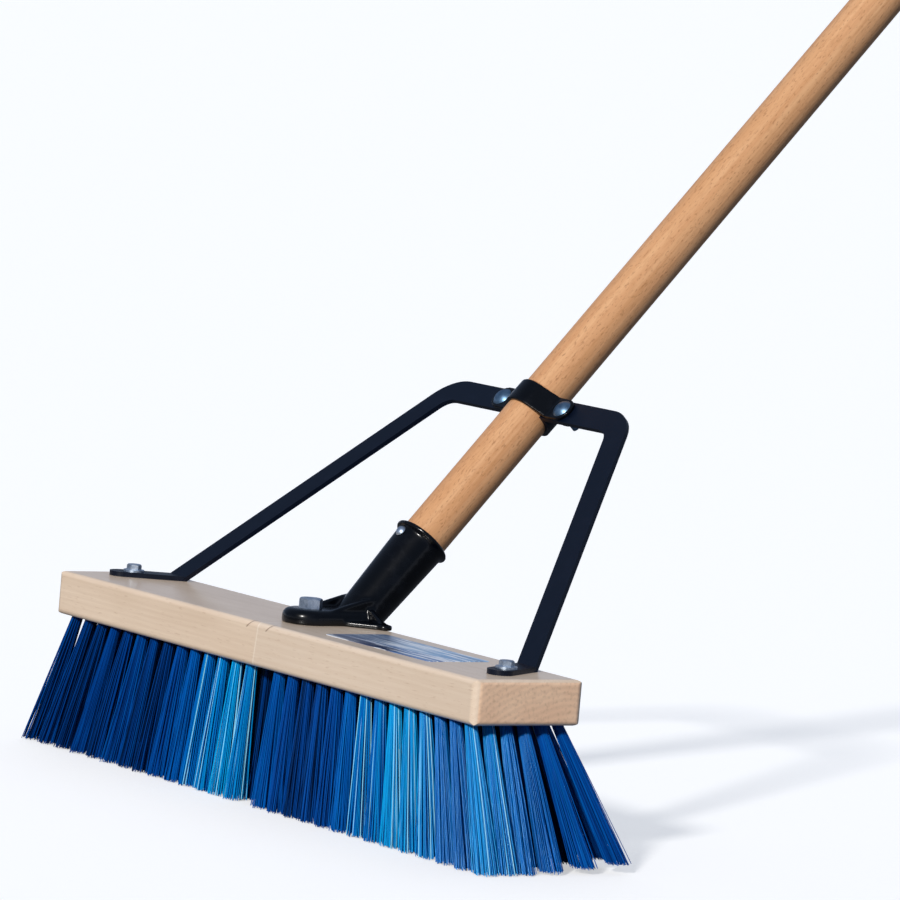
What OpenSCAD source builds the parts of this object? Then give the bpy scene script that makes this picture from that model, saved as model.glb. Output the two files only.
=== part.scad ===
// Push broom: wooden head block, six rows of tufts, a cast handle socket, a long
// round handle that leans back, and a flat steel brace clamped to the handle.
// X runs along the block, +Y is the handle's side and Z is up. The origin is the
// middle of the block's top face, where the socket seats.

/* [Head block] */
// Length of the block along X
block_l = 457.2; // [440:0.1:480]
// Depth of the block along Y
block_w = 76.2; // [74:0.1:90]
// Thickness of the block
block_t = 26.8; // [25:0.1:32]
// Radius of the four upright corners
corner_r = 5; // [3:0.5:8]
// Radius of the front and right end edges
front_edge_r = 3; // [2:0.5:6]
// Radius of the back and left end edges
back_edge_r = 6; // [3:0.5:7]

/* [Tufts] */
// Length of the bristles below the block
bristle_h = 82.5; // [60:0.5:100]
// Tufts on each side of the bare middle column
side_cols = 14; // [6:1:14]
// Number of rows of tufts
rows = 6; // [4:1:6]
// Spacing of the tufts along X
col_pitch = 15.33; // [14:0.01:15.6]
// Spacing of the rows along Y
row_pitch = 12; // [11:0.1:12.4]
// Diameter of a tuft hole
hole_d = 7; // [6:0.1:7.4]
// Depth of a tuft hole along its own axis
hole_depth = 14; // [10:0.5:15]
// Diameter of a tuft at its tip
tip_d = 14.5; // [8:0.1:14.8]
// How far the end tufts lean out along X at their tips
end_flare = 33; // [10:1:36]
// How far the front row leans forward at its tips
front_flare = 4; // [2:1:20]
// How far the back row leans back at its tips
back_flare = 28; // [8:1:30]

/* [Handle] */
// Length of the wooden handle
handle_l = 1524; // [1200:1:1600]
// Diameter of the handle
handle_d = 28.6; // [27:0.1:30]
// Lean of the handle from upright, in degrees
lean = 42; // [40:0.5:44]
// Where the handle's axis meets the top of the block, behind its middle
handle_y = 29.2; // [28:0.1:31]
// Diameter of the handle's thin end
taper_d = 24; // [22:0.1:26]

/* [Socket] */
// Length of the socket along the handle
socket_l = 69; // [60:1:80]
// Wall of the socket tube
socket_wall = 2; // [1.5:0.1:3]
// Height of the socket's foot
foot_h = 9; // [8:0.5:10]
// Radius of the round nose of the foot
nose_r = 15; // [13:0.5:17]
// Half of the width across the rear ears
ear_x = 34; // [28:1:38]

/* [Brace] */
// Width of the steel strip
strip_w = 16; // [14:0.5:18]
// Thickness of the steel strip
strip_t = 3; // [2.5:0.1:3.2]
// Distance of the top bar from the block along the handle
bar_u = 179.7; // [150:0.1:210]
// Half of the distance between the two upper corners
corner_x = 88.6; // [70:0.1:100]
// Half of the distance between the two folds at the block
fold_x = 188.8; // [184:0.1:190]
// Where the folds lie, behind the block's middle
fold_y = 24.8; // [23:0.1:27]
// Radius of the upper corners along the strip's middle
bend_r = 21; // [10:0.5:24]
// Length of a foot from its fold to the centre of its round end
foot_l = 35; // [32:1:38]
// Distance of the screw from the fold
screw_m = 28; // [26:0.5:29]

/* [Clamp] */
// How far the clamp presses into the handle
bite = 0.3; // [0.3:0.05:0.6]
// Half of the distance between the clamp bolts
clamp_x = 31.5; // [28:0.1:34]
// Diameter of the clamp bolts
clamp_bolt_d = 5; // [4:0.1:6]
// Diameter of the domed bolt heads
dome_d = 12.5; // [11:0.1:14]

/* [Hidden] */
$fn = 64;

under_z = -block_t;
tip_z = -block_t - bristle_h;
handle_r = handle_d / 2;
// Clearance on the radius between parts that fit
play = 0.05;
// Overlap of shapes that are fused into one
overlap = 0.4;
// How far a cutting shape runs past the face it opens
past = 1;
// Gap left below the tip of a screw
tip_gap = 1;
// Larger than the broom's middle, for half spaces
cut = 400;

// Brace and clamp
bar_y = handle_y + bar_u * sin(lean);
bar_z = bar_u * cos(lean);
fold_z = strip_t / 2;
brace_lean = atan((bar_y - fold_y) / (bar_z - fold_z));
arm_u = (bar_z - fold_z) / cos(brace_lean);
splay = atan((fold_x - corner_x) / arm_u);
turn = 90 - splay;
bend_run = bend_r * tan(turn / 2);
seat_r = handle_r - bite;
saddle_r = seat_r + play;
seat_margin = 1;
screw_x = fold_x + screw_m * sin(splay);
screw_y = fold_y - screw_m * cos(splay);
brace_screw_d = 5.6;
brace_screw_l = 16;
brace_hole_play = 0.2;
washer_t = 1;
washer_d = 11;
clamp_nut_t = 4;
clamp_nut_af = 9.5;
clamp_bolt_end = 13;
strap_leave = 38;

// Socket bolt and its recess under the block
bolt_y = -2;
bolt_d = 7.9;
bolt_head_af = 12.7;
bolt_head_h = 6;
recess_d = 24;
recess_h = 10;
bolt_washer_d = 20;
bolt_washer_t = 1.6;
bolt_nut_h = 6;

// Foot of the socket
nose_y = -4;
foot_back_y = 34;
shoulder_r = 5;
ear_t = 3.2;
ear_r = 4.5;
ear_y = 32.5;
ear_y0 = 12;
web_t = 4;
web_h = 10;
cheek_x = 9.5;
cheek_t = 3.5;
cheek_top = [[3, 8], [15, 12], [29, 16], [38, 17]];
rim_r = 1.7;
below = 16;
bolt_turn = 12;
chamfer = 0.8;

// Label, tuft roots and small parts
label_l = 110;
label_w = 44;
label_x = 103;
label_y = -1;
label_t = 0.2;
label_r = 3;
staple_l = 6;
staple_w = 2.2;
staple_t = 0.6;
// How far a tuft's cone runs on below the tips before it is cut level
spare = 8;
handle_end_r = 6;
strap_t = 2.5;
dome_h = 3;
flange_d = 13;
flange_t = 1.2;
brace_screw_af = 8;
brace_screw_head_h = 4.6;

// Handle screw
handle_screw_u = 61.5;
handle_screw_d = 3.6;
handle_screw_head_d = 7;
handle_screw_l = 12;
handle_screw_head_h = 2.2;

// Radius of the handle's tapered end at a distance u along its axis
taper_from = 12;
function taper_r(u) = taper_d / 2
    + (handle_r - taper_d / 2) * (u - taper_from) / (socket_l - taper_from);

// Where a tuft's tip lies, from where the tuft leaves the block
function tip_x(x) = x + sign(x) * end_flare * pow(abs(x) / (side_cols * col_pitch), 1.6);
row_span = (rows - 1) * row_pitch / 2;
function tip_y(y) = y + (y < 0 ? front_flare : back_flare) * y / row_span;

// Hexagon measured across its flats
module hex(af) {
    circle(d = af / cos(30), $fn = 6);
}

// Moves a shape onto the axis of the socket bolt
module at_bolt(z = 0) {
    translate([0, bolt_y, z]) children();
}

module rounded_rect(l, w, r) {
    square([l - 2 * r, w], center = true);
    square([l, w - 2 * r], center = true);
    for (sx = [-1, 1], sy = [-1, 1])
        translate([sx * (l / 2 - r), sy * (w / 2 - r)]) circle(r);
}

// Upright section of the block, with its own radius on each side's two edges
module block_section(l, left_r, right_r) {
    left = -l / 2;
    right = l / 2;
    polygon([[left, left_r], [left + left_r, 0], [right - right_r, 0], [right, right_r],
        [right, block_t - right_r], [right - right_r, block_t], [left + left_r, block_t],
        [left, block_t - left_r]]);
    for (z = [0, 1]) {
        translate([left + left_r, z ? block_t - left_r : left_r]) circle(left_r);
        translate([right - right_r, z ? block_t - right_r : right_r]) circle(right_r);
    }
}

// Stands a shape on the handle's axis: local Z runs up the handle, -Y is its front
module on_handle() {
    translate([0, handle_y, 0]) rotate([-lean, 0, 0]) children();
}

// Stands a flat outline in the plane of the brace: local Y runs up, X along the block
module in_brace_plane() {
    translate([0, bar_y, bar_z]) rotate([90 - brace_lean, 0, 0]) children();
}

// Places a shape along the axis of the tuft that leaves the block at (x, y)
module on_tuft(x, y) {
    dx = tip_x(x) - x;
    dy = tip_y(y) - y;
    translate([x, y, under_z])
        rotate([0, 0, atan2(dy, dx)])
            rotate([0, -atan2(norm([dx, dy]), bristle_h), 0]) children();
}

module each_column() {
    for (i = [1:side_cols], s = [-1, 1]) let (x = s * i * col_pitch) {
        $tuft_x = x;
        children();
    }
}

function row_y(n) = -row_span + (n - 1) * row_pitch;

module head_block() {
    color("burlywood")
    difference() {
        intersection() {
            translate([0, 0, under_z]) linear_extrude(block_t)
                rounded_rect(block_l, block_w, corner_r);
            translate([0, block_w / 2, under_z]) rotate([90, 0, 0]) linear_extrude(block_w)
                block_section(block_l, back_edge_r, front_edge_r);
            translate([-block_l / 2, 0, under_z]) rotate([90, 0, 90]) linear_extrude(block_l)
                block_section(block_w, front_edge_r, back_edge_r);
        }
        for (n = [1:rows]) each_column()
            on_tuft($tuft_x, row_y(n)) translate([0, 0, -2 * past])
                cylinder(d = hole_d, h = hole_depth + 2 * past);
        at_bolt(under_z - past) cylinder(d = bolt_d + 2 * play, h = block_t + 2 * past);
        at_bolt(under_z - past) cylinder(d = recess_d, h = recess_h + past);
        for (s = [-1, 1]) translate([s * screw_x, screw_y, -brace_screw_l])
            cylinder(d = brace_screw_d + 2 * play, h = brace_screw_l + past);
    }
}

module block_label() {
    color("steelblue") translate([label_x, label_y, 0]) linear_extrude(label_t)
        rounded_rect(label_l, label_w, label_r);
}

module tuft(x, y) {
    lean_out = norm([tip_x(x) - x, tip_y(y) - y, bristle_h]);
    root_r = hole_d / 2 - play;
    reach = lean_out + spare;
    on_tuft(x, y) {
        cylinder(r = root_r, h = hole_depth - staple_t);
        translate([0, 0, -reach])
            cylinder(r1 = root_r + (tip_d / 2 - root_r) * reach / lean_out, r2 = root_r, h = reach);
    }
}

module tuft_row(n) {
    color("royalblue")
    intersection() {
        each_column() tuft($tuft_x, row_y(n));
        translate([-cut, -cut, tip_z]) cube([2 * cut, 2 * cut, -tip_z]);
    }
}

module tuft_staples() {
    color("silver")
    for (n = [1:rows]) each_column()
        on_tuft($tuft_x, row_y(n)) translate([0, 0, hole_depth - staple_t / 2])
            cube([staple_l, staple_w, staple_t], center = true);
}

// Handle before the clamp marks it: a thin end, a long shaft and a rounded top
module handle_blank(straight) {
    difference() {
        union() {
            translate([0, 0, taper_from])
                cylinder(r1 = taper_r(taper_from), r2 = handle_r, h = socket_l - taper_from);
            translate([0, 0, socket_l]) cylinder(r = handle_r, h = straight);
            translate([0, 0, socket_l + straight]) rotate_extrude() {
                square([handle_r - handle_end_r, handle_end_r]);
                intersection() {
                    translate([handle_r - handle_end_r, 0]) circle(handle_end_r);
                    square(handle_r);
                }
            }
        }
        translate([0, 0, handle_screw_u]) rotate([90, 0, 0]) translate([0, 0, handle_r - handle_screw_l])
            cylinder(d = handle_screw_d + 2 * play, h = handle_screw_l + past);
    }
}

module handle() {
    straight = handle_l + taper_from - socket_l - handle_end_r;
    color("peru")
    difference() {
        on_handle() handle_blank(straight);
        clamp_seat();
    }
}

// Shallow band that the clamp presses into the handle
module clamp_seat() {
    band = strip_w + 2 * seat_margin;
    in_brace_plane() rotate([90, 0, 0]) difference() {
        cylinder(r = 2 * handle_r, h = band, center = true);
        cylinder(r = seat_r, h = band + 2 * past, center = true);
    }
}

// Section of the socket's foot, with rounded shoulders
module foot_section(half) {
    square([half - shoulder_r, foot_h]);
    square([half, foot_h - shoulder_r]);
    translate([half - shoulder_r, foot_h - shoulder_r]) circle(shoulder_r);
}

module socket_foot() {
    translate([0, nose_y, 0]) rotate_extrude() intersection() {
        foot_section(nose_r);
        square(2 * nose_r);
    }
    for (s = [0, 1]) mirror([s, 0, 0]) {
        translate([0, foot_back_y, 0]) rotate([90, 0, 0]) linear_extrude(foot_back_y - nose_y)
            foot_section(nose_r);
        linear_extrude(ear_t) {
            polygon([[0, ear_y0], [nose_r - 1, ear_y0], [ear_x - ear_r, ear_y - ear_r],
                [ear_x - ear_r, ear_y + ear_r], [0, ear_y + ear_r]]);
            translate([ear_x - ear_r, ear_y]) circle(ear_r);
        }
        // Web that ties the ear to the tube
        translate([0, ear_y + web_t / 2, 0]) rotate([90, 0, 0]) linear_extrude(web_t)
            polygon([[0, 0], [ear_x - ear_r, 0], [ear_x - ear_r, ear_t],
                [nose_r, web_h], [0, web_h]]);
        // Side wall that rises from the foot to the tube
        translate([cheek_x, 0, 0]) rotate([90, 0, 90]) linear_extrude(cheek_t)
            polygon(concat([[cheek_top[0][0], 0]], cheek_top, [[cheek_top[3][0], 0]]));
    }
}

module handle_socket() {
    color("#14161c")
    difference() {
        intersection() {
            union() {
                socket_foot();
                on_handle() {
                    translate([0, 0, -below])
                        cylinder(r1 = taper_r(-below) + play + socket_wall,
                            r2 = handle_r + play + socket_wall, h = socket_l + below);
                    translate([0, 0, socket_l - rim_r]) rotate_extrude()
                        translate([handle_r + socket_wall + rim_r / 4, 0]) circle(rim_r);
                }
            }
            translate([-cut, -cut, 0]) cube([2 * cut, 2 * cut, cut]);
        }
        on_handle() {
            translate([0, 0, taper_from])
                cylinder(r1 = taper_r(taper_from) + play, r2 = handle_r + play,
                    h = socket_l - taper_from);
            translate([0, 0, socket_l - play]) cylinder(r = handle_r + play, h = past + play);
            translate([0, 0, handle_screw_u]) rotate([90, 0, 0])
                cylinder(d = handle_screw_d + 2 * play, h = 2 * handle_r);
        }
        at_bolt(-past) cylinder(d = bolt_d + 2 * play, h = foot_h + 2 * past);
    }
}

module handle_screw() {
    seat = taper_r(handle_screw_u) + socket_wall + 2 * play;
    color("lightsteelblue")
    on_handle() translate([0, 0, handle_screw_u]) rotate([90, 0, 0]) {
        translate([0, 0, handle_r - handle_screw_l + tip_gap])
            cylinder(d = handle_screw_d, h = seat - handle_r + handle_screw_l - tip_gap);
        translate([0, 0, seat]) dome(handle_screw_head_d, handle_screw_head_h);
    }
}

// Low dome that stands on z = 0
module dome(d, h) {
    ball_r = (d * d / 4 + h * h) / (2 * h);
    intersection() {
        translate([0, 0, h - ball_r]) sphere(ball_r);
        cylinder(d = 2 * d, h = 2 * h);
    }
}

// Hexagon head or nut whose top corners are turned down
module hex_body(af, h) {
    outer_r = af / 2 / cos(30) + play;
    intersection() {
        linear_extrude(h) hex(af);
        union() {
            cylinder(r = outer_r, h = h - chamfer);
            translate([0, 0, h - chamfer]) cylinder(r1 = outer_r, r2 = af / 2 - play, h = chamfer);
        }
    }
}

module socket_bolt() {
    color("lightsteelblue") {
        at_bolt(foot_h) rotate(bolt_turn) hex_body(bolt_head_af, bolt_head_h);
        at_bolt(under_z + tip_gap) cylinder(d = bolt_d, h = block_t + foot_h - tip_gap);
    }
}

module socket_bolt_washer() {
    color("silver")
    at_bolt(under_z + recess_h - bolt_washer_t) difference() {
        cylinder(d = bolt_washer_d, h = bolt_washer_t);
        translate([0, 0, -past]) cylinder(d = bolt_d + 2 * play, h = bolt_washer_t + 2 * past);
    }
}

module socket_bolt_nut() {
    color("silver")
    at_bolt(under_z + recess_h - bolt_washer_t - bolt_nut_h) difference() {
        linear_extrude(bolt_nut_h) hex(bolt_head_af);
        translate([0, 0, -past]) cylinder(d = bolt_d + 2 * play, h = bolt_nut_h + 2 * past);
    }
}

// Right half of the brace's bar, corner and arm, in its own plane
module brace_outline() {
    bend_x = corner_x - bend_run;
    wide = 3 * bend_r;
    translate([0, -strip_w / 2]) square([bend_x + overlap, strip_w]);
    translate([bend_x, -bend_r]) {
        intersection() {
            difference() {
                circle(bend_r + strip_w / 2);
                circle(bend_r - strip_w / 2);
            }
            polygon([[0, 0], [0, wide], [wide * tan(turn / 2), wide],
                [wide * sin(turn), wide * cos(turn)]]);
        }
        translate([bend_r * sin(turn), bend_r * cos(turn)]) rotate(-turn)
            translate([-overlap, -strip_w / 2]) square([arm_u / cos(splay), strip_w]);
    }
}

// Outline of the right foot on top of the block
module foot_outline() {
    intersection() {
        translate([fold_x, fold_y]) rotate(-turn) {
            translate([-strip_w, -strip_w / 2]) square([foot_l + strip_w, strip_w]);
            translate([foot_l, 0]) circle(strip_w / 2);
        }
        translate([0, fold_y - block_w]) square([block_l, block_w]);
    }
}

module brace() {
    color("#1a2233")
    difference() {
        union() {
            intersection() {
                in_brace_plane() translate([0, 0, -strip_t / 2]) linear_extrude(strip_t)
                    for (s = [0, 1]) mirror([s, 0]) brace_outline();
                translate([-cut, -cut, 0]) cube([2 * cut, 2 * cut, cut]);
            }
            linear_extrude(strip_t) for (s = [0, 1]) mirror([s, 0]) foot_outline();
            in_brace_plane() saddle();
        }
        in_brace_plane() {
            rotate([90, 0, 0]) cylinder(r = saddle_r, h = 2 * strip_w, center = true);
            clamp_holes();
        }
        for (s = [-1, 1]) translate([s * screw_x, screw_y, -past])
            cylinder(d = brace_screw_d + 2 * brace_hole_play, h = strip_t + 2 * past);
    }
}

// Half ring round the back of the handle
module saddle() {
    intersection() {
        rotate([90, 0, 0]) difference() {
            cylinder(r = saddle_r + strip_t, h = strip_w, center = true);
            cylinder(r = saddle_r, h = strip_w + 2 * past, center = true);
        }
        translate([-cut / 2, -strip_w, strip_t / 2 - cut]) cube([cut, 2 * strip_w, cut]);
    }
}

module clamp_holes() {
    for (s = [-1, 1]) translate([s * clamp_x, 0, 0])
        cylinder(d = clamp_bolt_d + 2 * play, h = strip_w, center = true);
}

// Point on the strap's profile: up to the tangent at strap_leave, then down to the ear
function strap_point(r) = r * [sin(strap_leave), cos(strap_leave)];
function strap_foot(r, z) = strap_point(r)
    + (r * cos(strap_leave) - z) / sin(strap_leave) * [cos(strap_leave), -sin(strap_leave)];

// Right half of the strap's profile across the handle, with the handle's middle at zero
module strap_profile() {
    outer_r = saddle_r + strap_t;
    ear_z = strip_t / 2;
    edge = strap_leave + 1;
    intersection() {
        difference() {
            circle(outer_r);
            circle(saddle_r);
        }
        polygon([[-overlap, 0], [0, 0], cut * [sin(edge), cos(edge)], [-overlap, cut]]);
    }
    polygon([strap_point(saddle_r), strap_point(outer_r), strap_foot(outer_r, ear_z + strap_t),
        [clamp_x, ear_z + strap_t], [clamp_x, ear_z], strap_foot(saddle_r, ear_z)]);
}

module clamp_strap() {
    color("#14161c")
    in_brace_plane() difference() {
        for (s = [0, 1]) mirror([s, 0, 0]) {
            translate([0, strip_w / 2, 0]) rotate([90, 0, 0]) linear_extrude(strip_w)
                strap_profile();
            translate([clamp_x, 0, strip_t / 2]) cylinder(d = strip_w, h = strap_t);
        }
        clamp_holes();
    }
}

module clamp_bolts() {
    color("lightsteelblue")
    in_brace_plane() for (s = [-1, 1]) translate([s * clamp_x, 0, 0]) {
        translate([0, 0, strip_t / 2 + strap_t]) dome(dome_d, dome_h);
        translate([0, 0, -clamp_bolt_end])
            cylinder(d = clamp_bolt_d, h = clamp_bolt_end + strip_t / 2 + strap_t);
    }
}

module clamp_washers() {
    color("silver")
    in_brace_plane() for (s = [-1, 1]) translate([s * clamp_x, 0, -strip_t / 2 - washer_t])
        difference() {
            cylinder(d = washer_d, h = washer_t);
            translate([0, 0, -past]) cylinder(d = clamp_bolt_d + 2 * play, h = washer_t + 2 * past);
        }
}

module clamp_nuts() {
    color("silver")
    in_brace_plane() for (s = [-1, 1])
        translate([s * clamp_x, 0, -strip_t / 2 - washer_t - clamp_nut_t]) difference() {
            linear_extrude(clamp_nut_t) hex(clamp_nut_af);
            translate([0, 0, -past]) cylinder(d = clamp_bolt_d + 2 * play, h = clamp_nut_t + 2 * past);
        }
}

module brace_screws() {
    color("lightsteelblue")
    for (s = [-1, 1]) translate([s * screw_x, screw_y, strip_t]) {
        cylinder(d = flange_d, h = flange_t);
        hex_body(brace_screw_af, brace_screw_head_h);
        translate([0, 0, tip_gap - strip_t - brace_screw_l])
            cylinder(d = brace_screw_d, h = strip_t + brace_screw_l);
    }
}

head_block();
block_label();
handle();
handle_socket();
handle_screw();
socket_bolt();
socket_bolt_washer();
socket_bolt_nut();
brace();
brace_screws();
clamp_strap();
clamp_bolts();
clamp_washers();
clamp_nuts();
tuft_row(1);  // tuft_row_1
tuft_row(2);  // tuft_row_2
tuft_row(3);  // tuft_row_3
tuft_row(4);  // tuft_row_4
tuft_row(5);  // tuft_row_5
tuft_row(6);  // tuft_row_6
tuft_staples();
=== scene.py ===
# %% [markdown]
# # A push broom
# The broom is a maple block with six rows of blue tufts under it, a black socket bolted on top, a long
# handle that leans back, and a flat steel brace that ties the handle to the ends of the block.
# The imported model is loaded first, as a fixed frame. Most of its hard parts keep their shape and only
# get a finish here. The socket and the clamp strap are replaced by copies with softer corners, and the
# plain cones that stand for the tufts by real bundles of filaments.

# %% Load the frame
import math
import random

import bmesh
import bpy
from mathutils import Matrix, Vector


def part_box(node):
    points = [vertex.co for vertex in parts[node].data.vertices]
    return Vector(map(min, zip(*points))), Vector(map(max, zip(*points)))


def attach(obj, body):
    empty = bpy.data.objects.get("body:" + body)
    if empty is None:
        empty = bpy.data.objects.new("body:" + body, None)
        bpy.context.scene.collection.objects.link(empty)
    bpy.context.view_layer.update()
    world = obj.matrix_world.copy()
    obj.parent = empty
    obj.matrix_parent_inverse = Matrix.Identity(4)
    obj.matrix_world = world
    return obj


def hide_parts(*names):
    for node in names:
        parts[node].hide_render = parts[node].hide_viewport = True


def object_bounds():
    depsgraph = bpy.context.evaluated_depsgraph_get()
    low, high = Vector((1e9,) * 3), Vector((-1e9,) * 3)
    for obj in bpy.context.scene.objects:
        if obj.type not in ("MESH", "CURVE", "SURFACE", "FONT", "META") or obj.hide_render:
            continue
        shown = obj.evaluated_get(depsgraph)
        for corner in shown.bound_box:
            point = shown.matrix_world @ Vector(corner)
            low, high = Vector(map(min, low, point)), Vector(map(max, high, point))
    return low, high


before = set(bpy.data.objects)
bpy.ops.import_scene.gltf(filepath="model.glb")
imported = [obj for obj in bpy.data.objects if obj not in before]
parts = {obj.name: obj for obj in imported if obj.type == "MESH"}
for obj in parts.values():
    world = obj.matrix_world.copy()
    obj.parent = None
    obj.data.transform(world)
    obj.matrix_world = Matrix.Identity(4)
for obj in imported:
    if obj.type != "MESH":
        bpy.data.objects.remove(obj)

cad_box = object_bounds()
MM = 0.001
print("parts in the frame:", len(parts))

# %% [markdown]
# The camera comes before anything is made.
# It looks at the block's front corner from a little above, with a long lens from over four metres away,
# and it is rolled by five degrees. A camera looks along its own -Z, so its three axes are worked out
# from the two angles, and the roll then turns the first two.

# %% Camera
AZIMUTH = math.radians(54.99)
ELEVATION = math.radians(5.13)
ROLL = math.radians(5.03)
DISTANCE = 4.221
AIM_RIGHT = 0.0825
AIM_UP = 0.1033
SENSOR = 36.0
FOCAL_LENGTH = 282.5
FAR_CLIP = 200

back = Vector((math.sin(AZIMUTH) * math.cos(ELEVATION),
               -math.cos(AZIMUTH) * math.cos(ELEVATION),
               math.sin(ELEVATION)))
level_right = Vector((math.cos(AZIMUTH), math.sin(AZIMUTH), 0))
level_up = back.cross(level_right)
right = level_right * math.cos(ROLL) + level_up * math.sin(ROLL)
up = level_up * math.cos(ROLL) - level_right * math.sin(ROLL)

camera_data = bpy.data.cameras.new("camera")
camera_data.sensor_width = SENSOR
camera_data.lens = FOCAL_LENGTH
camera_data.clip_end = FAR_CLIP
camera = bpy.data.objects.new("camera", camera_data)
turn = Matrix((right, up, back)).transposed().to_4x4()
stand = back * DISTANCE + right * AIM_RIGHT + up * AIM_UP
camera.matrix_world = Matrix.Translation(stand) @ turn
bpy.context.scene.collection.objects.link(camera)
bpy.context.scene.camera = camera
print("camera stands at", [round(v, 3) for v in camera.matrix_world.translation])

# %% [markdown]
# Finishes are made of shader nodes, and these two small classes keep them readable. A Wire is one
# output of a node: adding or multiplying wires adds the Math nodes that do it, so a formula is written
# as a formula. A Finish is one material, and its node method adds any other node.

# %% Wires between shader nodes
class Wire:
    """One output socket of a node in a finish."""

    def __init__(self, finish, socket):
        self.finish = finish
        self.socket = socket

    def math(self, operation, first, second):
        return self.finish.node("ShaderNodeMath", {"operation": operation}, {0: first, 1: second})

    def __add__(self, other):
        return self.math("ADD", self, other)

    def __radd__(self, other):
        return self.math("ADD", other, self)

    def __sub__(self, other):
        return self.math("SUBTRACT", self, other)

    def __rsub__(self, other):
        return self.math("SUBTRACT", other, self)

    def __mul__(self, other):
        return self.math("MULTIPLY", self, other)

    def __rmul__(self, other):
        return self.math("MULTIPLY", other, self)

    def __pow__(self, other):
        return self.math("POWER", self, other)


# %% Finishes
class Finish:
    """A material whose surface is one Principled shader, with helpers for the nodes behind it."""

    def __init__(self, name):
        self.material = bpy.data.materials.new(name)
        self.material.use_nodes = True
        self.nodes = self.material.node_tree.nodes
        self.links = self.material.node_tree.links
        self.surface = self.nodes["Principled BSDF"]

    def node(self, kind, settings=None, values=None, output=0):
        """Add any node: its settings come first, then the values or wires of its sockets."""
        made = self.nodes.new(kind)
        for name, setting in (settings or {}).items():
            if name == "stops":
                self.fill_ramp(made.color_ramp, setting)
            else:
                setattr(made, name, setting)
        for name, value in (values or {}).items():
            self.feed(made.inputs[name], value)
        return Wire(self, made.outputs[output])

    def fill_ramp(self, ramp, stops):
        while len(ramp.elements) < len(stops):
            ramp.elements.new(1)
        for element, (position, tone) in zip(ramp.elements, stops):
            element.position = position
            element.color = tone

    def feed(self, socket, value):
        if isinstance(value, Wire):
            self.links.new(value.socket, socket)
        else:
            socket.default_value = value

    def shader(self, **values):
        """Feed the Principled shader, with an underscore for each space in a socket's name."""
        for name, value in values.items():
            self.feed(self.surface.inputs[name.replace("_", " ")], value)

    def place(self, scale=(1, 1, 1), turn=(0, 0, 0)):
        """Where a point lies on the object, in metres, turned and stretched for a pattern."""
        where = self.node("ShaderNodeTexCoord", output="Object")
        return self.node("ShaderNodeMapping", {"vector_type": "POINT"},
                         {"Vector": where, "Scale": scale, "Rotation": turn})

    def noise(self, where, scale=1, detail=2, roughness=0.5, distortion=0):
        return self.node("ShaderNodeTexNoise", None,
                         {"Vector": where, "Scale": scale, "Detail": detail,
                          "Roughness": roughness, "Distortion": distortion})

    def ramp(self, wire, low, high, start=0, end=1):
        """A number that goes from start to end as the wire goes from low to high."""
        return self.node("ShaderNodeMapRange", {"clamp": True},
                         {"Value": wire, "From Min": low, "From Max": high,
                          "To Min": start, "To Max": end})

    def absolute(self, wire):
        return self.node("ShaderNodeMath", {"operation": "ABSOLUTE"}, {0: wire})

    def axis(self, where, name):
        """One coordinate of a place, as a number."""
        return self.node("ShaderNodeSeparateXYZ", None, {0: where}, name)

    def mix(self, mask, first, second):
        """The first colour where the mask is 0 and the second where it is 1."""
        return self.node("ShaderNodeMix", {"data_type": "RGBA"},
                         {0: mask, 6: first, 7: second}, output=2)

    def bump(self, height, distance, strength=1):
        return self.node("ShaderNodeBump", None,
                         {"Height": height, "Distance": distance, "Strength": strength})


def color(red, green, blue):
    """A colour picked on screen, from 0 to 255, as the linear colour that shaders use."""
    linear = [((v / 255 + 0.055) / 1.055) ** 2.4 if v > 10 else v / 255 / 12.92
              for v in (red, green, blue)]
    return (*linear, 1)


def coat_part(name, finish):
    """A CAD part keeps its shape and takes a finish in every material slot."""
    for entry in parts[name].material_slots:
        entry.material = finish.material
    print(name, "is finished in", finish.material.name)


# %% [markdown]
# Light. One low key light stands to the left of the camera, so the block's long front is the brightest
# side, its end is dimmer and its top is only skimmed. A weak and very soft second light stands opposite
# the camera, so that the broom's back isn't black. It is hidden from glossy rays, because the flat top
# of the block would mirror it towards the camera.

# %% Lights
def far_light(name, azimuth, elevation, strength, size, tone):
    """A light so far away that it comes from one direction; size is how wide it looks."""
    data = bpy.data.lights.new(name, "SUN")
    data.energy = strength
    data.angle = math.radians(size)
    data.color = tone
    light = bpy.data.objects.new(name, data)
    around = math.radians(azimuth)
    rise = math.radians(elevation)
    toward = Vector((math.sin(around) * math.cos(rise),
                     -math.cos(around) * math.cos(rise),
                     math.sin(rise)))
    light.rotation_euler = toward.to_track_quat("Z", "Y").to_euler()
    bpy.context.scene.collection.objects.link(light)
    print(name, "light comes from", [round(v, 2) for v in toward])
    return light


WARM_WHITE = (1.0, 0.97, 0.93)
COOL_WHITE = (0.9, 0.95, 1.0)
far_light("key", azimuth=32, elevation=26, strength=3.3, size=6, tone=WARM_WHITE)
back_light = far_light("back", azimuth=235, elevation=34, strength=0.8, size=70, tone=COOL_WHITE)
back_light.visible_glossy = False

# %% [markdown]
# Surroundings. The rest of the light is a dim ground, a narrow bright horizon that the flat top of the
# block mirrors, and a dim blue sky above. They stay dim so that the far side of the handle is dark,
# which is what makes it look round.

# %% Surroundings
DIM_GROUND = (0.08, 0.09, 0.11, 1)
BRIGHT_HORIZON = (0.78, 0.85, 1, 1)
DIM_SKY = (0.15, 0.2, 0.3, 1)
SKY_STOPS = ((0.0, DIM_GROUND), (0.02, BRIGHT_HORIZON), (0.16, DIM_SKY))

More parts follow.
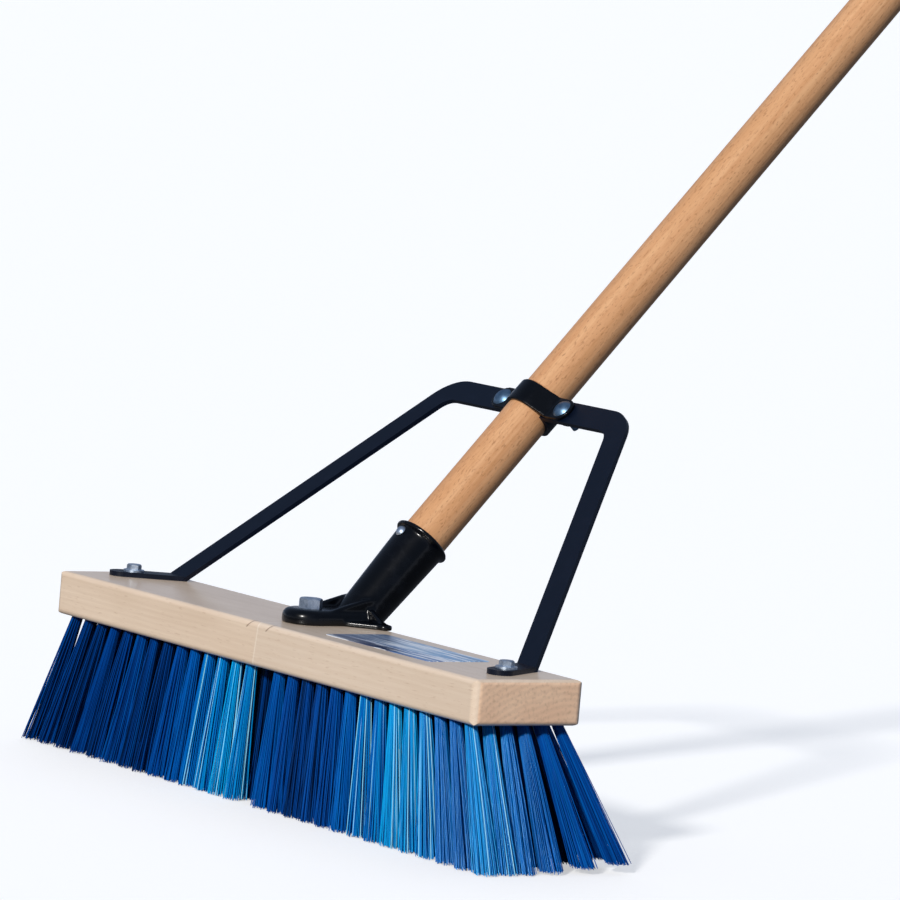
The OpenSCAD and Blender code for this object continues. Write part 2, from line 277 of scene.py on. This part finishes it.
world = bpy.data.worlds.new("surroundings")
world.use_nodes = True
world_nodes = world.node_tree.nodes
direction = world_nodes.new("ShaderNodeTexCoord")
rise = world_nodes.new("ShaderNodeSeparateXYZ")
sky = world_nodes.new("ShaderNodeValToRGB")
sky.color_ramp.elements.new(0.5)
for element, (position, tone) in zip(sky.color_ramp.elements, SKY_STOPS):
    element.position = position
    element.color = tone
world.node_tree.links.new(direction.outputs["Generated"], rise.inputs[0])
world.node_tree.links.new(rise.outputs["Z"], sky.inputs[0])
world.node_tree.links.new(sky.outputs["Color"], world_nodes["Background"].inputs["Color"])
bpy.context.scene.world = world
bpy.context.scene.view_settings.view_transform = "Standard"
print("surroundings have", len(SKY_STOPS), "tones")

# %% [markdown]
# Floor. It is one wide plane at the height of the tufts' tips, plain and pale. It glows a little by
# itself, because a floor lit from so low down would turn grey. A glowing floor would also fill every
# shadow on the broom from below and put a pale rim on the handle, so it is hidden from the rays that
# carry diffuse and glossy light to other things. The camera still sees it, with the shadows on it.

# %% Floor
FLOOR_HALF = 40
FLOOR_GREY = (0.6, 0.6, 0.6, 1)
FLOOR_GLOW = 0.5

floor_shape = bmesh.new()
bmesh.ops.create_grid(floor_shape, x_segments=1, y_segments=1, size=FLOOR_HALF)
bmesh.ops.translate(floor_shape, verts=floor_shape.verts, vec=(0, 0, cad_box[0][2]))
floor_mesh = bpy.data.meshes.new("floor")
floor_shape.to_mesh(floor_mesh)
floor_shape.free()
floor = bpy.data.objects.new("floor", floor_mesh)
bpy.context.scene.collection.objects.link(floor)
pale = Finish("pale_floor")
pale.shader(Base_Color=FLOOR_GREY, Roughness=0.9,
            Emission_Color=(1, 1, 1, 1), Emission_Strength=FLOOR_GLOW)
floor_mesh.materials.append(pale.material)
floor.visible_diffuse = False
floor.visible_glossy = False
print("floor is", 2 * FLOOR_HALF, "m wide")

# %% [markdown]
# The block is maple. Its grain runs along the block, so on the long front it reads as fine level lines
# and short flecks, while the sawn ends show arcs of the growth rings and a denser, browner surface.
# A pattern in three dimensions does both at once: rings about a line that runs along X, somewhere below
# the block, look like lines on one side and like arcs on the other. The block is two boards joined in
# the middle, so the rings of the right board have another centre. Numbers such as (30, 900, 900) say
# how many times a pattern repeats in a metre along the block, across it and up.

# %% Growth rings
JOINT_TILT = 0.12
JOINT_BLUR = 0.2 * MM
RINGS_BESIDE, RINGS_BELOW = 0.03, 0.13
BOARD_SHIFT_Y, BOARD_SHIFT_Z = 0.07, 0.03
WAVER_Y, WAVER_Z = 0.02, 0.012
RING_RATE = 1700

maple = Finish("maple")
place = maple.place()
along = maple.axis(place, "X")
across = maple.axis(place, "Y")
height = maple.axis(place, "Z")
tilt = height * -JOINT_TILT + along
right_board = maple.ramp(tilt, -JOINT_BLUR, JOINT_BLUR)

waver = maple.noise(maple.place((3, 18, 18)), 1, 2)
ring_y = across + RINGS_BESIDE - right_board * BOARD_SHIFT_Y + waver * WAVER_Y
ring_z = height + RINGS_BELOW - right_board * BOARD_SHIFT_Z + waver * WAVER_Z
ring_r = (ring_y * ring_y + ring_z * ring_z) ** 0.5
rings = maple.node("ShaderNodeMath", {"operation": "SINE"}, {0: ring_r * RING_RATE})
ring_mask = maple.ramp(rings, -1, 1)
print("growth rings are", round(math.tau / RING_RATE / MM, 1), "mm apart")

# %% Maple
WHITE_MAPLE = color(236, 213, 187)
WARM_MAPLE = color(224, 199, 172)
RIGHT_MAPLE = color(231, 212, 190)
RING_BROWN = color(206, 177, 148)
FIBRE_BROWN = color(214, 187, 159)
FLECK_BROWN = color(188, 152, 120)

fibre = maple.noise(maple.place((30, 900, 900)), 1, 3, 0.6)
fleck = maple.noise(maple.place((110, 1100, 1100)), 1, 2, 0.5)
cloud = maple.noise(maple.place((9, 34, 34)), 1, 3)
pores = maple.noise(maple.place((500, 500, 500)), 1, 2)

board = maple.mix(maple.ramp(cloud, 0.3, 0.7), WHITE_MAPLE, WARM_MAPLE)
board = maple.mix(right_board * 0.5, board, RIGHT_MAPLE)
board = maple.mix(ring_mask * 0.16, board, RING_BROWN)
board = maple.mix(maple.ramp(fibre, 0.35, 0.7) * 0.3, board, FIBRE_BROWN)
board = maple.mix(maple.ramp(fleck, 0.62, 0.72) * 0.4, board, FLECK_BROWN)
print("maple has", len(maple.nodes), "nodes")

# %% [markdown]
# End grain drinks in more of the varnish, so the two sawn ends are browner and duller, with tiny
# pores. A mask finds them by how far a point lies from the middle of the block. The joint's pale glue
# line and two small nicks at the top edge beside it are masks as well, because they are thinner than
# a saw cut, and a bump sinks the nicks. A thin varnish coat lies over all of it.

# %% Sawn ends
END_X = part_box("head_block")[1][0]
END_TAN = color(250, 212, 177)
END_BROWN = color(240, 198, 163)
END_RING = color(172, 136, 108)
END_PORE = color(164, 128, 100)

end_mask = maple.ramp(maple.absolute(along), END_X - 0.6 * MM, END_X - 0.2 * MM)
end_wood = maple.mix(maple.ramp(cloud, 0.35, 0.65), END_TAN, END_BROWN)
end_wood = maple.mix(ring_mask * 0.14, end_wood, END_RING)
end_wood = maple.mix(maple.ramp(pores, 0.5, 0.75) * 0.3, end_wood, END_PORE)
board = maple.mix(end_mask, board, end_wood)
print("the block's ends are sawn at", round(END_X / MM, 1), "mm")

# %% Joint and nicks
JOINT_HALF = 0.8 * MM
JOINT_CORE = 0.35 * MM
GLUE_PALE = color(246, 230, 210)
NICK_DROP = 2 * MM
NICK_SLANT = 1.16
NICK_MIDDLES = (-10 * MM, 11 * MM)
NICK_CORE, NICK_HALF = 0.4 * MM, 0.9 * MM
NICK_REACH = -33 * MM
NICK_BROWN = color(120, 88, 64)

glue = maple.ramp(maple.absolute(tilt), JOINT_CORE, JOINT_HALF, 1, 0)
board = maple.mix(glue * 0.6, board, GLUE_PALE)
slant = along - (height + NICK_DROP) * NICK_SLANT
nicks = 0
for middle in NICK_MIDDLES:
    nicks = maple.ramp(maple.absolute(slant - middle), NICK_CORE, NICK_HALF, 1, 0) + nicks
nicks = nicks * maple.ramp(height, -2.4 * NICK_DROP, -2 * NICK_DROP)
nicks = nicks * maple.ramp(across, NICK_REACH - 1 * MM, NICK_REACH, 1, 0)
board = maple.mix(nicks * 0.6, board, NICK_BROWN)
print("nicks lie", [round(middle / MM) for middle in NICK_MIDDLES], "mm from the joint")

# %% Maple's surface
grain_height = fibre * 0.5 + ring_mask * 0.2 + pores * 0.3
maple.shader(Base_Color=board,
             Roughness=maple.ramp(fibre, 0.3, 0.7, 0.42, 0.56) + end_mask * 0.2,
             Normal=maple.bump(grain_height - nicks * 4, 0.12 * MM, 0.5),
             Coat_Weight=0.65, Coat_Roughness=0.2)
coat_part("head_block", maple)

# %% [markdown]
# The handle is a turned hardwood dowel, varnished a warm tan. Its grain runs along the dowel, which
# leans back, so one Mapping node turns the pattern upright and a second one stretches it along the
# grain. Long soft streaks give the figure, a fine mottle breaks it up, and many short dark pores give
# the speckle that such dowels have.

# %% Handle wood
LEAN = math.radians(42)
PALE_TAN = color(220, 172, 128)
DEEP_TAN = color(204, 150, 106)
PATCH_TAN = color(192, 138, 90)
LINE_BROWN = color(186, 130, 82)
PORE_BROWN = color(132, 84, 50)
MOTTLE_BROWN = color(172, 120, 78)

tan_wood = Finish("handle_wood")


def up_the_handle(width, length):
    """A place for a pattern that repeats width times a metre round the dowel and length times along."""
    turned = tan_wood.place(turn=(LEAN, 0, 0))
    return tan_wood.node("ShaderNodeMapping", {"vector_type": "POINT"},
                         {"Vector": turned, "Scale": (width, width, length)})


streak = tan_wood.noise(up_the_handle(190, 5), 1, 3, 0.55, 0.4)
line = tan_wood.noise(up_the_handle(700, 12), 1, 3, 0.6)
speck = tan_wood.noise(up_the_handle(1000, 320), 1, 2, 0.5)
patch = tan_wood.noise(up_the_handle(40, 8), 1, 3)
mottle = tan_wood.noise(up_the_handle(420, 110), 1, 4, 0.7)
wood = tan_wood.mix(tan_wood.ramp(streak, 0.3, 0.7), PALE_TAN, DEEP_TAN)
wood = tan_wood.mix(tan_wood.ramp(patch, 0.35, 0.7) * 0.45, wood, PATCH_TAN)
wood = tan_wood.mix(tan_wood.ramp(line, 0.45, 0.75) * 0.45, wood, LINE_BROWN)
wood = tan_wood.mix(tan_wood.ramp(speck, 0.58, 0.7) * 0.45, wood, PORE_BROWN)
wood = tan_wood.mix(tan_wood.ramp(mottle, 0.5, 0.7) * 0.35, wood, MOTTLE_BROWN)
tan_wood.shader(Base_Color=wood,
                Roughness=tan_wood.ramp(line, 0.3, 0.7, 0.4, 0.52),
                Normal=tan_wood.bump(line * 0.6 - speck * 0.4, 0.15 * MM, 0.5),
                Specular_IOR_Level=0.2, Coat_Weight=0.1, Coat_Roughness=0.25)
coat_part("handle", tan_wood)

# %% [markdown]
# Two black finishes. The socket and the clamp strap are gloss enamel, which shows long clean
# highlights with a faint orange peel. The brace is a satin powder coat, nearly navy in daylight.
# Enamel thins on sharp corners, so a Bevel node compares the rounded normal with the true one, and
# where they differ the finish turns a little greyer and rougher: partly wear, partly a painted
# highlight along the edges.

# %% Black finishes
EDGE_R = 0.7 * MM


def black_paint(name, face, edge, roughness, peel, coat):
    """Black paint; peel is the depth of its orange peel and coat is how glossy its top layer is."""
    paint = Finish(name)
    place = paint.place()
    rounded = paint.node("ShaderNodeBevel", {"samples": 4}, {"Radius": EDGE_R})
    true = paint.node("ShaderNodeNewGeometry", output="True Normal")
    match = paint.node("ShaderNodeVectorMath", {"operation": "DOT_PRODUCT"},
                       {0: rounded, 1: true}, "Value")
    broken = paint.noise(place, 420, 3, 0.6)
    # paler edges: partly wear, partly a painted highlight along the edges
    wear_and_edge_highlight = paint.ramp(match, 0.995, 0.9) * paint.ramp(broken, 0.4, 0.6)
    dust = paint.ramp(paint.noise(place, 90, 4, 0.65), 0.5, 0.8)
    skin = paint.noise(place, 1100, 2, 0.5)
    tone = paint.mix(dust * 0.35, face, edge)
    paint.shader(Base_Color=paint.mix(wear_and_edge_highlight * 0.6, tone, edge),
                 Roughness=paint.ramp(dust, 0, 1, roughness, roughness + 0.12) + wear_and_edge_highlight * 0.1,
                 Normal=paint.bump(skin, peel, 0.6),
                 Specular_IOR_Level=0.2, Coat_Weight=coat, Coat_Roughness=0.12)
    return paint


gloss_black = black_paint("gloss_black", face=color(2, 3, 6), edge=color(16, 20, 30),
                          roughness=0.24, peel=0.02 * MM, coat=0.18)
satin_black = black_paint("satin_black", face=color(4, 12, 28), edge=color(20, 30, 48),
                          roughness=0.38, peel=0.04 * MM, coat=0.0)
coat_part("brace", satin_black)

# %% [markdown]
# The socket is a casting, so every inside corner is a soft fillet, and the strap is bent from plate, so
# its bends are round. Both are made from a welded copy of their frame part: a Remesh modifier turns it
# into one even skin, and a Smooth modifier then relaxes the corners. That is far easier than bevelling
# the seams where a leaning tube meets a flat foot.

# %% Softened copies
WELD_GAP = 0.005 * MM


def softened(name, part, voxel, rounds, finish):
    """Replace a part by a copy with rounder corners; more rounds relax them further."""
    shape = bmesh.new()
    shape.from_mesh(parts[part].data)
    bmesh.ops.remove_doubles(shape, verts=shape.verts, dist=WELD_GAP)
    mesh = bpy.data.meshes.new(name + "_rough")
    shape.to_mesh(mesh)
    shape.free()
    rough = bpy.data.objects.new(name + "_rough", mesh)
    bpy.context.scene.collection.objects.link(rough)
    remesh = rough.modifiers.new("skin", "REMESH")
    remesh.mode = "VOXEL"
    remesh.voxel_size = voxel
    relax = rough.modifiers.new("relax", "SMOOTH")
    relax.factor = 0.5
    relax.iterations = rounds
    relaxed = rough.evaluated_get(bpy.context.evaluated_depsgraph_get())
    skin = bpy.data.meshes.new_from_object(relaxed)
    bpy.data.objects.remove(rough)
    skin.shade_smooth()
    skin.materials.clear()
    skin.materials.append(finish.material)
    piece = bpy.data.objects.new(name, skin)
    bpy.context.scene.collection.objects.link(piece)
    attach(piece, "root")
    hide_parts(part)
    print(name, "has", len(skin.polygons), "faces")


softened("cast_socket", "handle_socket", voxel=0.7 * MM, rounds=14, finish=gloss_black)
softened("bent_strap", "clamp_strap", voxel=0.5 * MM, rounds=10, finish=gloss_black)

# %% [markdown]
# The screws, bolts, nuts and washers are steel with a thin plated skin, so they are metal with a cool
# tint. Plating is never even: a fine cloud shifts the tint, and faint scratches roughen it. The two
# clamp bolts came out of the bath darker and bluer, and the clamp's nuts and washers are painted with
# the brace.

# %% Plated steel
def plated_steel(name, bright, dull, roughness):
    """Thin plating on steel, between a bright and a dull tint."""
    plate = Finish(name)
    cloud = plate.noise(plate.place(), 260, 3, 0.6)
    scratch = plate.noise(plate.place((2600, 240, 240)), 1, 2, 0.5)
    tone = plate.mix(plate.ramp(cloud, 0.35, 0.65), bright, dull)
    plate.shader(Base_Color=tone, Metallic=plate.ramp(cloud, 0.2, 0.8, 1.0, 0.9),
                 Roughness=plate.ramp(scratch, 0.3, 0.7, roughness, roughness + 0.12),
                 Normal=plate.bump(scratch, 0.02 * MM, 0.4))
    return plate


zinc = plated_steel("zinc", color(210, 221, 234), color(150, 168, 190), 0.36)
dark_zinc = plated_steel("dark_zinc", color(122, 152, 178), color(85, 115, 144), 0.36)
wire = plated_steel("staple_wire", color(190, 190, 188), color(150, 150, 150), 0.35)
for name in ("handle_screw", "socket_bolt", "socket_bolt_washer", "socket_bolt_nut", "brace_screws"):
    coat_part(name, zinc)
coat_part("clamp_bolts", dark_zinc)
for name in ("clamp_washers", "clamp_nuts"):
    coat_part(name, satin_black)
coat_part("tuft_staples", wire)

# %% [markdown]
# A glossy paper sticker lies on the block beside the socket. Its plain print is blue that deepens
# towards the front edge, with dark streaks along it; the greyer left end and the pale streaks are
# painted glare.
# Each mask is a ramp over a few millimetres of the sticker. The clear film on top is the coat.

# %% Sticker
SKY_BLUE, MIST_BLUE = color(92, 160, 214), color(156, 190, 222)
SEA_BLUE, NAVY = color(30, 110, 178), color(8, 44, 92)
GLARE_GREY = color(150, 154, 172)
GLARE_STREAK, DARK_STREAK = color(236, 242, 250), color(24, 64, 116)

sticker = Finish("sticker")
print_x = sticker.axis(sticker.place(), "X")
print_y = sticker.axis(sticker.place(), "Y")
glare = sticker.noise(sticker.place((16, 230, 1), turn=(0, 0, 0.06)), 1, 4, 0.65, 0.6)
wash = sticker.ramp(sticker.noise(sticker.place((16, 24, 1)), 1, 2), 0.4, 0.6)
front_band = sticker.ramp(print_y, -4 * MM, -8 * MM)
corner = sticker.ramp(print_x, 122 * MM, 112 * MM) * sticker.ramp(print_y, -12 * MM, -14 * MM)
left_end = sticker.ramp(print_x, 100 * MM, 70 * MM)
ink = sticker.mix(wash, SKY_BLUE, MIST_BLUE)
ink = sticker.mix(front_band, ink, SEA_BLUE)
ink = sticker.mix(corner, ink, NAVY)
# painted glare: a greyer left end and pale streaks
ink = sticker.mix(left_end * 0.7, ink, GLARE_GREY)
ink = sticker.mix(sticker.ramp(glare, 0.51, 0.56) * 0.9, ink, GLARE_STREAK)
ink = sticker.mix(sticker.ramp(glare, 0.44, 0.4) * 0.6, ink, DARK_STREAK)
sticker.shader(Base_Color=ink,
               Roughness=sticker.ramp(glare, 0.3, 0.7, 0.3, 0.42),
               Normal=sticker.bump(glare, 0.15 * MM, 0.4),
               Coat_Weight=0.6, Coat_Roughness=0.15)
coat_part("block_label", sticker)

# %% [markdown]
# Now the tufts. A tuft is a bundle of straight plastic filaments, folded in two over a staple at the
# bottom of its hole. It leaves the hole packed tight and opens towards the tips, and the outer tufts
# lean out. There are nearly twenty thousand filaments, so one filament has to be cheap: a four-sided
# cone of unit length, cut across in three places so that it can bow. Copies of it make the bundle, and
# their seats are set out as the seeds of a sunflower are, which fills a circle evenly.

# %% One filament and one bundle
FILAMENTS = 118
FILAMENT_SIDES = 4
FILAMENT_R = 0.34 * MM
TIP_SHARE = 0.85
FILAMENT_CUTS = (-0.25, -0.5, -0.75)
GOLDEN = math.radians(137.508)

filament = bmesh.new()
bmesh.ops.create_cone(filament, cap_ends=True, cap_tris=False, segments=FILAMENT_SIDES,
                      radius1=FILAMENT_R * TIP_SHARE, radius2=FILAMENT_R, depth=1)
bmesh.ops.translate(filament, verts=filament.verts, vec=(0, 0, -0.5))
for cut in FILAMENT_CUTS:
    whole = filament.verts[:] + filament.edges[:] + filament.faces[:]
    bmesh.ops.bisect_plane(filament, geom=whole, plane_co=(0, 0, cut), plane_no=(0, 0, 1))
for edge in filament.edges:
    edge.smooth = all(abs(face.normal.z) < 0.5 for face in edge.link_faces)
filament_mesh = bpy.data.meshes.new("filament")
filament.to_mesh(filament_mesh)
filament.free()
FILAMENT_VERTS = len(filament_mesh.vertices)

seats = []
for i in range(FILAMENTS):
    aside = Vector((math.cos(i * GOLDEN), math.sin(i * GOLDEN), 0))
    seats.append(aside * math.sqrt((i + 0.5) / FILAMENTS))
bundle = bmesh.new()
for seat in seats:
    bundle.from_mesh(filament_mesh)
bundle_mesh = bpy.data.meshes.new("bundle")
bundle.to_mesh(bundle_mesh)
bundle.free()
print("a filament has", FILAMENT_VERTS, "corners and a bundle", len(bundle_mesh.vertices))

# %% [markdown]
# The tufts stand in six rows of twenty-eight, with a bare column in the middle. The tips flare: the
# ones behind lean out most and are trimmed a little shorter, and those near the ends lean sideways,
# more and more towards the last column.

# %% Where the tufts stand
ROOT_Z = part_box("head_block")[0][2]
TIP_Z = cad_box[0][2]
COLUMN_PITCH = 15.33 * MM
COLUMNS = 14
LAST_COLUMN_X = (COLUMNS - 0.5) * COLUMN_PITCH
ROW_PITCH = 12 * MM
ROWS = 6
OUTER_ROW_Y = (ROWS - 1) / 2 * ROW_PITCH
END_FLARE = 33 * MM
FRONT_FLARE = 4 * MM
BACK_FLARE = 28 * MM
FLARE_POWER = 1.6
BACK_RISE = 5 * MM


def tip_of(root):
    """Where a tuft's tip lies, from where the tuft leaves the block."""
    share = abs(root.x) / (COLUMNS * COLUMN_PITCH)
    lean_x = math.copysign(END_FLARE * share ** FLARE_POWER, root.x)
    flare = BACK_FLARE if root.y > 0 else FRONT_FLARE
    lean_y = flare * root.y / OUTER_ROW_Y
    rise = BACK_RISE * max(root.y, 0) / OUTER_ROW_Y
    return Vector((root.x + lean_x, root.y + lean_y, TIP_Z + rise))


back_corner = tip_of(Vector((COLUMNS * COLUMN_PITCH, OUTER_ROW_Y, ROOT_Z)))
print("the outermost tip is at", [round(v / MM) for v in back_corner], "mm")

# %% [markdown]
# The brush isn't evenly blue: light and shade are painted into it. Along the front the tufts go from
# bright to dark and back in a slow wave, a painted highlight and painted shade for light finding its
# way between them; the right end is painted pale towards the front, and the tufts inside the brush are
# painted deep blue as painted shade. That is one number for each tuft, its shade, and the finish turns
# the number into a colour. Painting it in this way is surer than waiting for light to bounce inside a
# dense brush.

# %% Painted light and shade of a tuft
WAVE_PEAK = -28 * MM
WAVE_LENGTH = 172 * MM
WAVE_HEIGHT = 0.3
DARK_END = -100 * MM
MEAN_SHADE = 0.4
TUFT_SPREAD = 0.09
RIGHT_END_SHADE = 0.72
RIGHT_END_STEP = 0.09
DEEP_SHADE = 0.0


def is_inside(root, number):
    """Whether other tufts stand all round this one."""
    return 1 < number < ROWS and abs(root.x) < LAST_COLUMN_X


def shade_of(root, number, chance):
    """A tuft's painted light and shade with a random spread, from 0 for the darkest to 1 for the
    palest.
    """
    # the slow wave along the front is a painted highlight and painted shade
    wave = math.cos(math.tau * (max(root.x, DARK_END) - WAVE_PEAK) / WAVE_LENGTH)
    tuft_shade = MEAN_SHADE + WAVE_HEIGHT * wave + chance.uniform(-TUFT_SPREAD, TUFT_SPREAD)
    # the right end: painted light at the front, painted shade towards the back
    if root.x > LAST_COLUMN_X:
        tuft_shade = RIGHT_END_SHADE - RIGHT_END_STEP * number
    # tufts inside the brush are painted in deep shade
    if is_inside(root, number):
        tuft_shade = DEEP_SHADE
    return tuft_shade


print("shades of the front row swing by", WAVE_HEIGHT, "about", MEAN_SHADE)

# %% [markdown]
# Every tuft starts as the same bundle, and its filaments are then moved to their own places: the root
# in the hole, the tip where the tuft leans to. Each filament bows by its own small amount, ends at its
# own height and carries its own shade, and in the bright tufts some are painted pale as painted
# highlights along the glossy filaments. A row is one mesh, and stands for its cones.

# %% One filament's place
ROOT_R = 3.1 * MM
TIP_R = 7.4 * MM
ROOT_INSIDE = 4 * MM
TIP_SPREAD = (0.9, 1.08)
TIP_UNEVEN = 1.6 * MM
TIP_STRAY = 0.6 * MM
BOW = 0.5 * MM


def filament_path(root, tip, seat, chance):
    """Where a filament of a tuft starts and ends, and how far it bows halfway."""
    spread = chance.uniform(*TIP_SPREAD)
    foot = root + seat * ROOT_R + (root - tip) * (ROOT_INSIDE / (root.z - tip.z))
    end = tip + seat * TIP_R * spread + Vector((0, 0, chance.uniform(0, TIP_UNEVEN)))
    end += Vector((chance.uniform(-TIP_STRAY, TIP_STRAY), chance.uniform(-TIP_STRAY, TIP_STRAY), 0))
    bow = Vector((chance.uniform(-BOW, BOW), chance.uniform(-BOW, BOW), 0))
    return foot, end, bow


def lay_filament(verts, foot, end, bow):
    """Stretch a filament of unit length from its foot to its end, bowed in the middle."""
    for vertex in verts:
        down = -vertex.co.z
        aside = Vector((vertex.co.x, vertex.co.y, 0))
        vertex.co = foot.lerp(end, down) + bow * (4 * down * (1 - down)) + aside


print("a filament is about", round((ROOT_Z - TIP_Z + ROOT_INSIDE) / MM), "mm long")

# %% Rows of tufts
SHADE_SPREAD = 0.07
BRIGHTEST = 0.9
# painted highlights: in the brighter tufts some filaments are painted pale
HIGHLIGHT_SHARE = 0.5
HIGHLIGHT_FROM = 0.36


def tuft_row(number, finish, chance):
    """One row of tufts as one mesh; number counts the rows from the front."""
    y = (number - (ROWS + 1) / 2) * ROW_PITCH
    roots = [Vector((side * column * COLUMN_PITCH, y, ROOT_Z))
             for column in range(1, COLUMNS + 1) for side in (-1, 1)]
    row = bmesh.new()
    for root in roots:
        row.from_mesh(bundle_mesh)
    shades = []
    row.verts.ensure_lookup_table()
    start = 0
    for root in roots:
        tip = tip_of(root)
        inside = is_inside(root, number)
        tuft_shade = shade_of(root, number, chance)
        highlight_chance = HIGHLIGHT_SHARE * max(tuft_shade - HIGHLIGHT_FROM, 0)
        for seat in seats:
            foot, end, bow = filament_path(root, tip, seat, chance)
            shade = min(max(tuft_shade + chance.gauss(0, SHADE_SPREAD), 0), BRIGHTEST)
            # a painted highlight: this filament takes the palest end of the ramp
            if not inside and chance.random() < highlight_chance:
                shade = 1
            lay_filament(row.verts[start:start + FILAMENT_VERTS], foot, end, bow)
            shades.extend([shade] * FILAMENT_VERTS)
            start += FILAMENT_VERTS
    for face in row.faces:
        face.smooth = True
    mesh = bpy.data.meshes.new("tufts_%d" % number)
    row.to_mesh(mesh)
    row.free()
    mesh.attributes.new("shade", "FLOAT", "POINT").data.foreach_set("value", shades)
    mesh.materials.append(finish.material)
    piece = bpy.data.objects.new("tufts_%d" % number, mesh)
    bpy.context.scene.collection.objects.link(piece)
    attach(piece, "root")
    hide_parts("tuft_row_%d" % number)
    return piece


print("a row has", 2 * COLUMNS * FILAMENTS, "filaments")

# %% [markdown]
# The filaments are blue plastic with a soft gloss. The shade number, which carries the painted light
# and shade, runs through a ramp from navy to sky blue, with a pale blue at its very end for painted
# highlights.
# The gloss is tinted blue as well, because white gloss on so many thin threads would turn the whole
# brush lilac.

# %% Blue filaments
# navy for painted deep shade up to a pale blue at the end for painted highlights
SHADE_STOPS = ((0.0, color(0, 20, 52)), (0.15, color(2, 66, 148)), (0.5, color(0, 104, 190)),
               (0.88, color(10, 176, 236)), (1.0, color(150, 222, 250)))
SHEEN_BLUE = color(0, 64, 146)
GLOSS_TINT = (0.3, 0.7, 1, 1)

blue = Finish("blue_filament")
shade = blue.node("ShaderNodeAttribute", {"attribute_name": "shade"}, output="Fac")
tint = blue.node("ShaderNodeValToRGB", {"stops": SHADE_STOPS}, {0: shade})
sheen = blue.noise(blue.place((700, 700, 40)), 1, 2)
blue.shader(Base_Color=blue.mix(blue.ramp(sheen, 0.35, 0.65) * 0.12, tint, SHEEN_BLUE),
            Roughness=blue.ramp(sheen, 0.3, 0.7, 0.16, 0.26),
            Specular_IOR_Level=0.35, Specular_Tint=GLOSS_TINT)
chance = random.Random(7)
for number in range(1, ROWS + 1):
    piece = tuft_row(number, blue, chance)
    print(piece.name, "has", len(piece.data.polygons), "faces")
